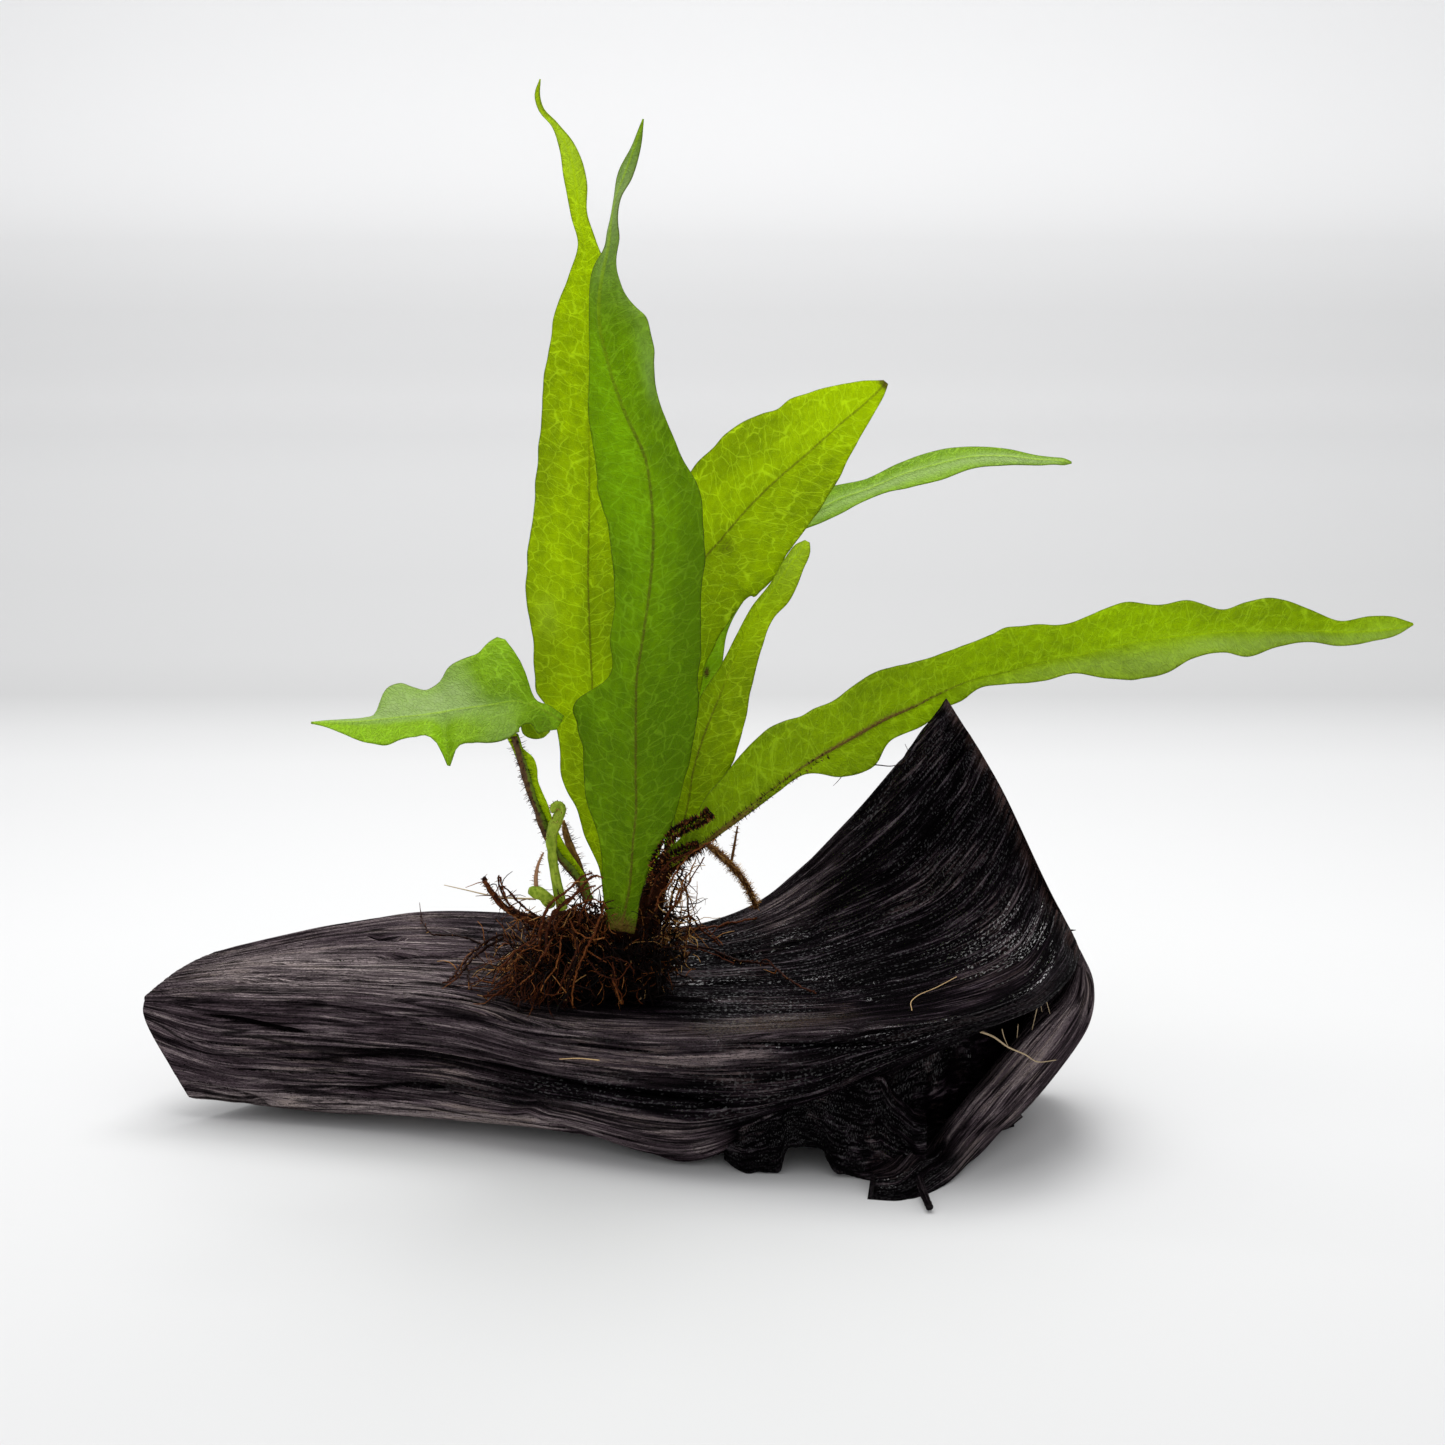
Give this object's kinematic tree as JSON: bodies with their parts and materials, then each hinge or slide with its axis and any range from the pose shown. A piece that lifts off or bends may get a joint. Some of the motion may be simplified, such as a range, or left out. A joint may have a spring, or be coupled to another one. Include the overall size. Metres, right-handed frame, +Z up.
{
  "type": "java fern on driftwood",
  "caption": "Fern with long wavy strap-shaped fronds, hairy roots and rhizome, grown onto a dark grained piece of driftwood with one end swept up to a point.",
  "frame": {"origin": "on the flat patch under the log that the piece rests on, below the plant's root mass", "axes": "+X along the wood towards its raised end, +Y away from the wood's front face, +Z up"},
  "size_m": [0.3247, 0.1051, 0.264],
  "materials": {
    "driftwood": "matte dark brown-grey, fine grain",
    "driftwood_wet": "near black, wet sheen along the grain",
    "leaf_green": "thin translucent green leaf with net veins",
    "leaf_yellow_green": "thin translucent yellow-green leaf with net veins",
    "leaf_pale": "green leaf with a pale sheen on its upper side",
    "stem": "fresh green stem",
    "stem_dry": "dry brown stem",
    "rhizome": "dark scaly creeping stem",
    "root": "brown wiry roots"
  },
  "bodies": {
    "root": {"driftwood_log": "driftwood", "driftwood_peak": "driftwood_wet", "driftwood_rim": "driftwood_wet", "rhizome": "rhizome", "root_tuft": "root", "aerial_root": "root", "frond_tall_front": "leaf_green", "frond_tall_back": "leaf_yellow_green", "frond_broad": "leaf_yellow_green", "frond_slim": "leaf_pale", "frond_young": "leaf_yellow_green", "frond_long": "leaf_green", "frond_left": "leaf_pale", "frond_left_stem": "stem", "fiddlehead": "stem", "young_bud": "stem", "old_stem": "stem_dry"}
  },
  "joints": []
}
